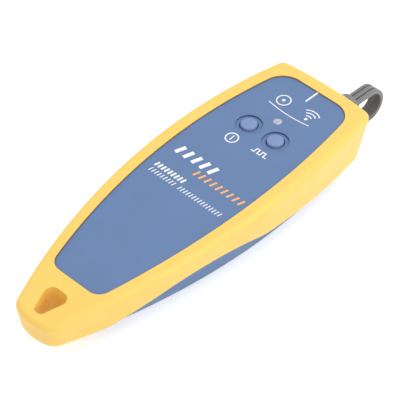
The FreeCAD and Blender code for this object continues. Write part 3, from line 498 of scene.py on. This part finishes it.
class InsideSettings(bpy.types.PropertyGroup):
    board_colour: colour_property("Board", "Colour of the circuit board", (0.02, 0.16, 0.07))
    wrap_colour: colour_property("Cell wrap", "Colour of the cells' wrap", (0.03, 0.10, 0.28))
    wrap_end: length_property("Wrap end", "Length of the pale band at a cell's positive end",
                              11.0 * MM)
    bare_front: length_property("Bare front", "Bare metal at a cell's positive end", 1.4 * MM)
    bare_rear: length_property("Bare rear", "Bare metal at a cell's flat end", 0.4 * MM)


# ---------------------------------------------------------------- operators

class LOCATOR_OT_stage(bpy.types.Operator):
    """Make the floor, the room light, the lamps and the camera"""
    bl_idname = "locator.stage"
    bl_label = "Stage"

    def execute(self, context):
        settings = context.scene.locator_stage
        half = settings.floor_span / 2
        line = np.linspace(-half, half, 3)
        x, y = np.meshgrid(line, line, indexing="ij")
        sheet = np.stack([x, y, np.full_like(x, -FLOOR_GAP)], -1)
        floor = add_mesh("floor", [(sheet, False, False)])
        if floor.data.polygons[0].normal.z < 0:
            floor.data.flip_normals()
        floor.data.materials.append(floor_finish(settings))
        room_light(context, settings)
        lamp(context, "overhead_lamp", settings.overhead_place, (0.0, 0.0, 0.0),
             settings.overhead_size, settings.overhead_power)
        lamp(context, "side_lamp", settings.side_place, settings.side_aim,
             settings.side_size, settings.side_power)
        view_camera(context, settings)
        context.scene.view_settings.view_transform = "Standard"
        return {"FINISHED"}


def view_camera(context, settings):
    """The camera that the scene is seen through."""
    camera = bpy.data.cameras.new("view_camera")
    camera.lens = settings.lens
    camera.sensor_width = SENSOR_WIDTH
    camera.clip_start, camera.clip_end = NEAREST, FARTHEST
    holder = bpy.data.objects.new("view_camera", camera)
    context.scene.collection.objects.link(holder)
    holder.location = settings.eye
    holder.rotation_mode = "QUATERNION"
    holder.rotation_quaternion = level_view(Vector(settings.sight))
    context.scene.camera = holder


def level_view(sight):
    """The turn that looks along a direction with the horizon level."""
    back = -sight.normalized()
    side = Vector((0, 0, 1)).cross(back).normalized()
    above = back.cross(side)
    return Matrix((side, above, back)).transposed().to_quaternion()


def floor_finish(settings):
    """A plain pale floor: a matt surface that keeps shadows, brightened only
    where it is looked at."""
    material = bpy.data.materials.new("pale_floor")
    material.use_nodes = True
    tree = material.node_tree
    tree.nodes.clear()
    output = tree.nodes.new("ShaderNodeOutputMaterial")
    both = tree.nodes.new("ShaderNodeAddShader")
    matt = tree.nodes.new("ShaderNodeBsdfDiffuse")
    matt.inputs["Color"].default_value = tuple(settings.floor_colour) + (1.0,)
    glow = tree.nodes.new("ShaderNodeEmission")
    level = tree.nodes.new("ShaderNodeMath")
    level.operation = "MULTIPLY"
    level.inputs[1].default_value = settings.floor_glow
    tree.links.new(seen_directly(tree), level.inputs[0])
    tree.links.new(level.outputs[0], glow.inputs["Strength"])
    tree.links.new(matt.outputs[0], both.inputs[0])
    tree.links.new(glow.outputs[0], both.inputs[1])
    tree.links.new(both.outputs[0], output.inputs["Surface"])
    return material


def seen_directly(tree):
    """One where a ray comes from the camera, a reflection or a view through
    glass, and nought elsewhere."""
    path = tree.nodes.new("ShaderNodeLightPath")
    seen = path.outputs["Is Camera Ray"]
    for kind in ("Is Glossy Ray", "Is Transmission Ray"):
        larger = tree.nodes.new("ShaderNodeMath")
        larger.operation = "MAXIMUM"
        tree.links.new(seen, larger.inputs[0])
        tree.links.new(path.outputs[kind], larger.inputs[1])
        seen = larger.outputs[0]
    return seen


def room_light(context, settings):
    """An even white room, at full white where it is looked at."""
    world = bpy.data.worlds.new("white_room")
    context.scene.world = world
    world.use_nodes = True
    tree = world.node_tree
    tree.nodes.clear()
    output = tree.nodes.new("ShaderNodeOutputWorld")
    room = tree.nodes.new("ShaderNodeBackground")
    room.inputs["Color"].default_value = (1.0, 1.0, 1.0, 1.0)
    level = tree.nodes.new("ShaderNodeMapRange")
    level.inputs["To Min"].default_value = settings.room_level
    level.inputs["To Max"].default_value = 1.0
    tree.links.new(seen_directly(tree), level.inputs["Value"])
    tree.links.new(level.outputs["Result"], room.inputs["Strength"])
    tree.links.new(room.outputs[0], output.inputs["Surface"])


def lamp(context, name, place, aim, size, power):
    """A square soft lamp that faces a point."""
    light = bpy.data.lights.new(name, "AREA")
    light.shape = "SQUARE"
    light.size = size
    light.energy = power
    holder = bpy.data.objects.new(name, light)
    context.scene.collection.objects.link(holder)
    holder.location = place
    holder.rotation_mode = "QUATERNION"
    toward = Vector(aim) - Vector(place)
    holder.rotation_quaternion = toward.to_track_quat("-Z", "Y")


class LOCATOR_OT_boot(bpy.types.Operator):
    """Finish the soft yellow overmould"""
    bl_idname = "locator.boot"
    bl_label = "Boot"

    def execute(self, context):
        settings = context.scene.locator_boot
        soft = moulded("soft_yellow_rubber", settings.colour, roughness=0.43,
                       grain=settings.grain, depth=0.005 * MM, drift=0.02, gap=settings.seam,
                       Subsurface_Weight=0.12, Subsurface_Scale=2 * MM, Specular_IOR_Level=0.6)
        dress(soft, "boot", "overmould")
        return {"FINISHED"}


class LOCATOR_OT_housing(bpy.types.Operator):
    """Finish the hard blue housing halves and the battery door"""
    bl_idname = "locator.housing"
    bl_label = "Housing"

    def execute(self, context):
        settings = context.scene.locator_housing
        hard = moulded("etched_blue_plastic", settings.colour, roughness=0.5,
                       grain=settings.grain, depth=0.008 * MM, drift=0.03, gap=settings.seam,
                       Specular_IOR_Level=0.5)
        dress(hard, "housing", "face_plate", "back_shell", "battery_door")
        return {"FINISHED"}


class LOCATOR_OT_buttons(bpy.types.Operator):
    """Make the two crowned push buttons and finish the indicator"""
    bl_idname = "locator.buttons"
    bl_label = "Buttons and indicator"

    def execute(self, context):
        settings = context.scene.locator_controls
        satin = moulded("satin_button_plastic", settings.button_colour, roughness=0.38,
                        grain=0.12 * MM, depth=0.002 * MM, drift=0.03, Specular_IOR_Level=0.5)
        for node in ("power_button", "flash_button"):
            cap = add_mesh(f"{node}_cap", [(button_surface(node, settings), False, True)])
            fitted(cap, satin, node)
            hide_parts(node)
        dress(milky_resin(settings.lamp_colour), "lamp", "status_led")
        return {"FINISHED"}


def milky_resin(colour):
    """An unlit indicator's cloudy resin."""
    finish = Finish("milky_lamp_resin", Roughness=0.22, Coat_Weight=0.3, Coat_Roughness=0.1,
                    Subsurface_Weight=0.4, Subsurface_Scale=1.5 * MM, IOR=1.5)
    cloud = finish.patches(1.2 * MM, 3.0, 0.3, 0.7)
    finish.colour(finish.mixed(cloud, shade(colour, 0.94), shade(colour, 1.06)))
    finish.bump(finish.noise(0.2 * MM, 2.0), 0.001 * MM)
    return finish.material


def button_surface(node, settings):
    """A button as a turned profile: a flange, an upright side, a rounded edge
    and a crown that falls off with the square of the radius."""
    low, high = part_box(node)
    x, y = (low.x + high.x) / 2, (low.y + high.y) / 2
    flange = (high.x - low.x) / 2
    radius, edge = settings.button_radius, settings.button_edge
    flange_edge, root = settings.flange_edge, settings.flange_root
    shoulder = low.z + settings.flange_depth
    rim = high.z - settings.button_crown
    share = np.linspace(1, 0, 9)[1:]
    dome = np.stack([share * (radius - edge), high.z - settings.button_crown * share ** 2], -1)
    profile = np.concatenate([
        [(0, low.z), (flange / 2, low.z)],
        corner_arc((flange - flange_edge, low.z + flange_edge), flange_edge, -90, 0, 4),
        corner_arc((flange - flange_edge, shoulder - flange_edge), flange_edge, 0, 90, 4),
        corner_arc((radius + root, shoulder + root), root, 270, 180, 4),
        corner_arc((radius - edge, rim - edge), edge, 0, 90, 9),
        dome,
    ])
    return turned_about_z(profile, x, y)


class LOCATOR_OT_marks(bpy.types.Operator):
    """Print the plain marks on the face"""
    bl_idname = "locator.marks"
    bl_label = "Printed marks"

    def execute(self, context):
        settings = context.scene.locator_marks
        stroke = settings.line_stroke
        pale = ink("pale_ink", settings.pale)
        warm = ink("warm_ink", settings.warm)
        for name, colour, sheets in (
                ("power_mark", pale, power_mark(stroke)),
                ("pulse_mark", pale, pulse_mark(stroke)),
                ("port_mark", pale, port_mark(settings.axis_stroke)),
                ("fibre_mark", pale, fibre_mark(stroke)),
                ("beam_mark", pale, beam_mark(stroke)),
                ("arc_mark", pale, arc_mark(stroke)),
                ("title_mark", pale, title_mark()),
                ("accent_mark", warm, accent_mark()),
                ("note_marks", pale, note_marks())):
            fitted(add_mesh(name, sheets, sharp_angle=30.0), colour, "housing")
        return {"FINISHED"}


def power_mark(stroke):
    """A ring with a bar across it, beside the power button."""
    x, y, radius, half_bar = 14.7 * MM, 5.7 * MM, 2.15 * MM, 1.1 * MM
    return [ring_mark(x, y, radius, stroke * 1.1),
            bar_mark(x - half_bar, y, x + half_bar, y, stroke)]


def pulse_mark(stroke):
    """A line that steps between two levels, beside the flash button, given in
    millimetres."""
    low, high, start, step = 14.9, 16.6, -2.6, 1.3
    points = []
    for count, level in enumerate((low, high, low, high, low)):
        y = start - count * step
        points += [(level, y), (level, y - step)]
    return stroke_mark(np.array(points) * MM, stroke)


def port_mark(stroke):
    """A short line that shows the port's axis."""
    start, end = 44.1 * MM, 49.7 * MM
    return [bar_mark(start, 0.0, end, 0.0, stroke)]


def dot_mark(x, y):
    """A dot: a bar that is hardly longer than its round ends."""
    half_bar, width = 0.05 * MM, 1.1 * MM
    return bar_mark(x - half_bar, y, x + half_bar, y, width)


def fibre_mark(stroke):
    """A ring round a dot, as a fibre's end looks."""
    x, y, radius = 39.3 * MM, 5.6 * MM, 2.4 * MM
    return [ring_mark(x, y, radius, stroke), dot_mark(x, y)]


def beam_mark(stroke):
    """A dot and three arcs that spread from it."""
    dot_x, centre_x, y, half_angle = 37.5 * MM, 37.4 * MM, -5.9 * MM, 40
    sheets = [dot_mark(dot_x, y)]
    for reach in (1.8 * MM, 3.2 * MM, 4.6 * MM):
        arc = corner_arc((centre_x, y), reach, -half_angle, half_angle, 25)
        sheets += stroke_mark(arc, stroke)
    return sheets


def arc_mark(stroke):
    """A thin arc across the face, bowed half as deep as a circle's:
    (x + radius / 2 * (1 - cos t), radius * sin t)."""
    x, radius, half_angle = 34.9 * MM, 26.0 * MM, 20
    turn = np.radians(np.linspace(-half_angle, half_angle, 41))
    line = np.stack([x + radius / 2 * (1 - np.cos(turn)), radius * np.sin(turn)], -1)
    return stroke_mark(line, stroke * 0.8)


def title_mark():
    """The largest ticks, from the far side to the middle."""
    return tick_row(x=(-2.2, 1.5), y=(14.2, -0.4), count=5, stroke=1.5, lean=1.4)


def accent_mark():
    """The ticks in warm ink, from the middle to the near side."""
    return tick_row(x=(-5.9, -3.3), y=(2.8, -17.0), count=9, stroke=0.8, lean=0.9)


def note_marks():
    """A row of middling ticks, then a line of fine ones with a space in it."""
    return (tick_row(x=(-10.9, -8.9), y=(15.4, 3.6), count=9, stroke=0.75, lean=0.6)
            + tick_row(x=(-13.7, -11.9), y=(15.4, 5.0), count=9, stroke=0.36, lean=0.5)
            + tick_row(x=(-13.7, -11.9), y=(2.4, -15.4), count=15, stroke=0.36, lean=0.5))


def ink(name, colour):
    """Screen-printed ink: matt, with small pinholes where it is thin."""
    finish = Finish(name, Roughness=0.55, Specular_IOR_Level=0.35)
    thin = finish.patches(0.18 * MM, 4.0, 0.5, 0.75, most=0.5)
    finish.colour(finish.mixed(thin, colour, shade(colour, 0.86)))
    finish.bump(finish.noise(0.12 * MM, 3.0), 0.002 * MM)
    return finish.material


class LOCATOR_OT_port(bpy.types.Operator):
    """Finish the light port"""
    bl_idname = "locator.port"
    bl_label = "Light port"

    def execute(self, context):
        nickel = metal("turned_nickel", (0.56, 0.54, 0.50), roughness=0.28, line=0.05 * MM,
                       depth=0.002 * MM)
        dress(nickel, "nickel", "ferrule_adapter")
        ceramic = moulded("white_ceramic", (0.86, 0.85, 0.80), roughness=0.2, grain=0.08 * MM,
                          depth=0.0006 * MM, drift=0.02)
        dress(ceramic, "ceramic", "ferrule_sleeve")
        seal = moulded("seal_rubber", (0.03, 0.03, 0.032), roughness=0.6, grain=0.1 * MM,
                       depth=0.003 * MM)
        dress(seal, "seal", "port_seal")
        return {"FINISHED"}


class LOCATOR_OT_dust_cap(bpy.types.Operator):
    """Make the rubber dust cap with its ring and looped strap"""
    bl_idname = "locator.dust_cap"
    bl_label = "Dust cap"

    def execute(self, context):
        settings = context.scene.locator_cap
        # The gap colour's reach spans the whole loop, painting shade over the loop's inner side.
        rubber = moulded("grey_cap_rubber", settings.colour, roughness=0.46, grain=0.14 * MM,
                         depth=0.003 * MM, drift=0.06, gap=settings.seam,
                         reach=2 * settings.loop_radius, Sheen_Weight=0.2, Sheen_Roughness=0.4,
                         Specular_IOR_Level=0.5)
        cap = add_mesh("dust_cap_rubber", [
            (cup_surface(settings), False, True),
            (ring_surface(settings), True, True),
        ] + strap_surfaces(settings), sharp_angle=50.0)
        fitted(cap, rubber, "dust_cap")
        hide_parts("dust_cap")
        return {"FINISHED"}


def cap_face(settings):
    """Where the cap's closed end lies along the port."""
    return PORT_END + settings.cap_past_port


def cup_surface(settings):
    """The cap as a turned profile: a closed end with a rounded edge, a side, a
    rounded mouth and the bore that grips the barrel."""
    radius, bore = settings.cap_radius, settings.cap_bore
    edge, outer, inner = settings.cap_edge, settings.mouth_edge, settings.bore_edge
    mouth = CAP_LOW.x + settings.cap_mouth
    face = cap_face(settings)
    floor = face - settings.cap_end
    profile = np.concatenate([
        [(face, 0.0), (face, radius / 2)],
        corner_arc((face - edge, radius - edge), edge, 0, 90, 8),
        corner_arc((mouth + outer, radius - outer), outer, 90, 180, 5),
        corner_arc((mouth + inner, bore + inner), inner, 180, 270, 4),
        [(floor, bore), (floor, 0.0)],
    ])
    return turned_about_port(profile)


def ring_surface(settings):
    """The ring round the collar: a rounded rectangle turned about the port."""
    edge = settings.ring_edge
    near, far = CAP_LOW.x + edge, CAP_LOW.x + settings.ring_width - edge
    inner, outer = settings.ring_bore + edge, settings.ring_radius - edge
    profile = np.concatenate([
        corner_arc((near, outer), edge, 180, 90, 5),
        corner_arc((far, outer), edge, 90, 0, 5),
        corner_arc((far, inner), edge, 0, -90, 5),
        corner_arc((near, inner), edge, -90, -180, 5),
    ])
    return turned_about_port(profile)


def strap_path(settings):
    """The strap's outer line seen from the side: straight out of the cap, round
    the loop, and on a tangent back to the ring. Gives places and inward
    directions."""
    run_points, loop_points, back_points = 9, 49, 13
    radius = settings.loop_radius
    centre = np.array([CAP_HIGH.x - radius, CAP_LOW.z + radius])
    target = np.array([CAP_LOW.x + settings.ring_width / 2,
                       PORT_Z - settings.ring_radius - settings.strap_proud])
    gap = target - centre
    lean = math.atan2(gap[1], gap[0])
    last_turn = lean + math.acos(radius / np.linalg.norm(gap))
    if last_turn > 0:
        last_turn -= 2 * math.pi
    turn = np.linspace(math.pi / 2, last_turn, loop_points)
    outward = np.stack([np.cos(turn), np.sin(turn)], -1)
    loop = centre + radius * outward
    run = np.linspace(cap_face(settings) - settings.strap_root, centre[0], run_points)[:-1]
    top = np.stack([run, np.full_like(run, centre[1] + radius)], -1)
    share = np.linspace(0, 1, back_points)[1:, None]
    back = loop[-1] + (target - loop[-1]) * share
    places = np.concatenate([top, loop, back])
    directions = np.concatenate([np.repeat([[0.0, -1.0]], len(top), 0), -outward,
                                 np.repeat(-outward[-1:], len(back), 0)])
    return places, directions


def strap_section(settings):
    """The strap cut across, as (across, depth below the outer line): a rounded
    rectangle with two grooves in its outer side. A groove's depth falls off as
    (1 - off^2) ^ fullness, where off is one at its edges."""
    top_points, fullness = 61, 0.7
    half, depth, corner = settings.strap_width / 2, settings.strap_thickness, settings.strap_corner
    top = np.linspace(-half + corner, half - corner, top_points)
    dip = np.zeros_like(top)
    for side in (-0.5, 0.5):
        off = (top - side * settings.groove_spacing) / (settings.groove_width / 2)
        dip += settings.groove_depth * np.clip(1 - off ** 2, 0, None) ** fullness
    return np.concatenate([
        np.stack([top, dip], -1)[1:-1],
        corner_arc((half - corner, corner), corner, -90, 0, 6),
        corner_arc((half - corner, depth - corner), corner, 0, 90, 6),
        corner_arc((-half + corner, depth - corner), corner, 90, 180, 6),
        corner_arc((-half + corner, corner), corner, 180, 270, 6),
    ])


def strap_surfaces(settings):
    """The strap: its section carried along its path, place + depth * inward,
    with a closed end inside the cap and one inside the ring."""
    places, inward = strap_path(settings)
    section = strap_section(settings)
    xz = places[:, None, :] + section[None, :, 1, None] * inward[:, None, :]
    y = np.broadcast_to(section[None, :, 0], xz.shape[:2])
    sheet = np.stack([xz[..., 0], y, xz[..., 1]], -1)
    ends = []
    for edge in (sheet[0], sheet[-1]):
        middle = edge.mean(0)
        ends.append((np.stack([edge, np.broadcast_to(middle, edge.shape)]), False, True))
    return [(sheet, False, True)] + ends


class LOCATOR_OT_laser(bpy.types.Operator):
    """Finish the laser module and its optics"""
    bl_idname = "locator.laser"
    bl_label = "Laser module"

    def execute(self, context):
        brass = metal("turned_brass", (0.80, 0.58, 0.26), roughness=0.3, line=0.08 * MM,
                      depth=0.003 * MM)
        dress(brass, "brass", "laser_module", "lens_ring")
        lens = Finish("lens_glass", Roughness=0.02, Transmission_Weight=1.0, IOR=1.52)
        lens.colour(lens.mixed(lens.noise(2 * MM), (0.96, 0.97, 0.99), (0.9, 0.93, 0.98)))
        dress(lens.material, "glass", "collimating_lens")
        steel = metal("plated_steel", (0.66, 0.66, 0.67), roughness=0.3, line=0.06 * MM,
                      depth=0.002 * MM)
        dress(steel, "steel", "laser_diode")
        return {"FINISHED"}


class LOCATOR_OT_board(bpy.types.Operator):
    """Finish the circuit board and what stands on it"""
    bl_idname = "locator.board"
    bl_label = "Circuit board"

    def execute(self, context):
        dress(solder_mask(context.scene.locator_inside.board_colour), "board", "circuit_board")
        black = moulded("black_component", (0.025, 0.025, 0.028), roughness=0.42,
                        grain=0.1 * MM, depth=0.002 * MM, drift=0.08)
        dress(black, "component", "driver_chip", "boost_inductor", "power_switch",
              "flash_switch")
        return {"FINISHED"}


def solder_mask(colour):
    """A board's green mask over its weave, with paler raised tracks."""
    track_spacing, track_depth = 1.3 * MM, 0.03 * MM
    finish = Finish("green_board", Roughness=0.35, Coat_Weight=0.4, Coat_Roughness=0.2)
    tracks = finish.spread(finish.bands(track_spacing, "Y"), 0.62, 0.68, 0.0, 1.0)
    breaks = finish.patches(7 * MM, 1.0, 0.48, 0.5)
    lines = finish.joined(tracks, breaks, "MULTIPLY")
    weave = finish.patches(0.4 * MM, 2.0, 0.3, 0.7)
    mask = finish.mixed(weave, shade(colour, 0.85), shade(colour, 1.15))
    finish.colour(finish.mixed(lines, mask, shade(colour, 1.9)))
    finish.bump(lines, track_depth)
    return finish.material


class LOCATOR_OT_power(bpy.types.Operator):
    """Finish the cells, their contacts and their springs"""
    bl_idname = "locator.power"
    bl_label = "Power supply"

    def execute(self, context):
        settings = context.scene.locator_inside
        for node, toward_head in (("cell_left", True), ("cell_right", False)):
            dress(cell_finish(node, toward_head, settings), "cell", node)
        steel = metal("plated_contact_steel", (0.68, 0.67, 0.65), roughness=0.28,
                      line=0.08 * MM, depth=0.002 * MM, axis="Y")
        dress(steel, "steel", "bridge_contact", "positive_contact", "negative_contact",
              "bridge_spring", "negative_spring")
        return {"FINISHED"}


def cell_finish(node, toward_head, settings):
    """A cell's wrap: a plain dark foil with one pale band at the positive end,
    and bare steel on both end faces. Each border is one blur wide."""
    low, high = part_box(node)
    blur = 0.05 * MM
    finish = Finish(f"{node}_wrap", Roughness=0.3, Coat_Weight=0.5, Coat_Roughness=0.15)
    along = finish.part_of("X")

    def above(place):
        return finish.spread(along, place, place + blur, 0.0, 1.0)

    def below(place):
        return finish.spread(along, place, place + blur, 1.0, 0.0)

    if toward_head:
        band = above(high.x - settings.wrap_end)
        front = above(high.x - settings.bare_front - blur)
        rear = below(low.x + settings.bare_rear)
    else:
        band = below(low.x + settings.wrap_end)
        front = below(low.x + settings.bare_front)
        rear = above(high.x - settings.bare_rear - blur)
    bare = finish.joined(front, rear, "MAXIMUM")
    drift = finish.patches(5 * MM, 3.0, 0.3, 0.7)
    foil = finish.mixed(drift, settings.wrap_colour, shade(settings.wrap_colour, 1.25))
    wrapped = finish.mixed(band, foil, (0.62, 0.60, 0.54))
    finish.colour(finish.mixed(bare, wrapped, (0.62, 0.62, 0.63)))
    finish.link(bare, finish.shader.inputs["Metallic"])
    finish.bump(finish.noise(0.5 * MM, 2.0), 0.004 * MM)
    return finish.material


class LOCATOR_OT_fasteners(bpy.types.Operator):
    """Finish the housing screws"""
    bl_idname = "locator.fasteners"
    bl_label = "Screws"

    def execute(self, context):
        zinc = metal("zinc_screw_steel", (0.60, 0.60, 0.61), roughness=0.34, line=0.12 * MM,
                     depth=0.004 * MM, axis="Z")
        dress(zinc, "steel", "housing_screws")
        return {"FINISHED"}


class LOCATOR_PT_panel(bpy.types.Panel):
    """The locator's pieces and their settings"""
    bl_idname = "LOCATOR_PT_panel"
    bl_label = "Fault locator"
    bl_space_type = "VIEW_3D"
    bl_region_type = "UI"
    bl_category = "Locator"

    def draw(self, context):
        for operator in OPERATORS:
            self.layout.operator(operator.bl_idname)
        for name, group in GROUPS:
            box = self.layout.box()
            for field in group.__annotations__:
                box.prop(getattr(context.scene, name), field)


OPERATORS = (
    LOCATOR_OT_stage, LOCATOR_OT_boot, LOCATOR_OT_housing, LOCATOR_OT_buttons,
    LOCATOR_OT_marks, LOCATOR_OT_port, LOCATOR_OT_dust_cap, LOCATOR_OT_laser,
    LOCATOR_OT_board, LOCATOR_OT_power, LOCATOR_OT_fasteners,
)
GROUPS = (
    ("locator_stage", StageSettings), ("locator_boot", BootSettings),
    ("locator_housing", HousingSettings), ("locator_controls", ControlSettings),
    ("locator_marks", MarkSettings), ("locator_cap", CapSettings),
    ("locator_inside", InsideSettings),
)


def register():
    for name, group in GROUPS:
        bpy.utils.register_class(group)
        setattr(bpy.types.Scene, name, PointerProperty(type=group))
    for operator in OPERATORS:
        bpy.utils.register_class(operator)
    bpy.utils.register_class(LOCATOR_PT_panel)


def unregister():
    bpy.utils.unregister_class(LOCATOR_PT_panel)
    for operator in reversed(OPERATORS):
        bpy.utils.unregister_class(operator)
    for name, group in reversed(GROUPS):
        delattr(bpy.types.Scene, name)
        bpy.utils.unregister_class(group)


def main():
    """Register everything and make every piece in order."""
    register()
    for operator in OPERATORS:
        family, call = operator.bl_idname.split(".")
        getattr(getattr(bpy.ops, family), call)()


if __name__ == "__main__":
    main()
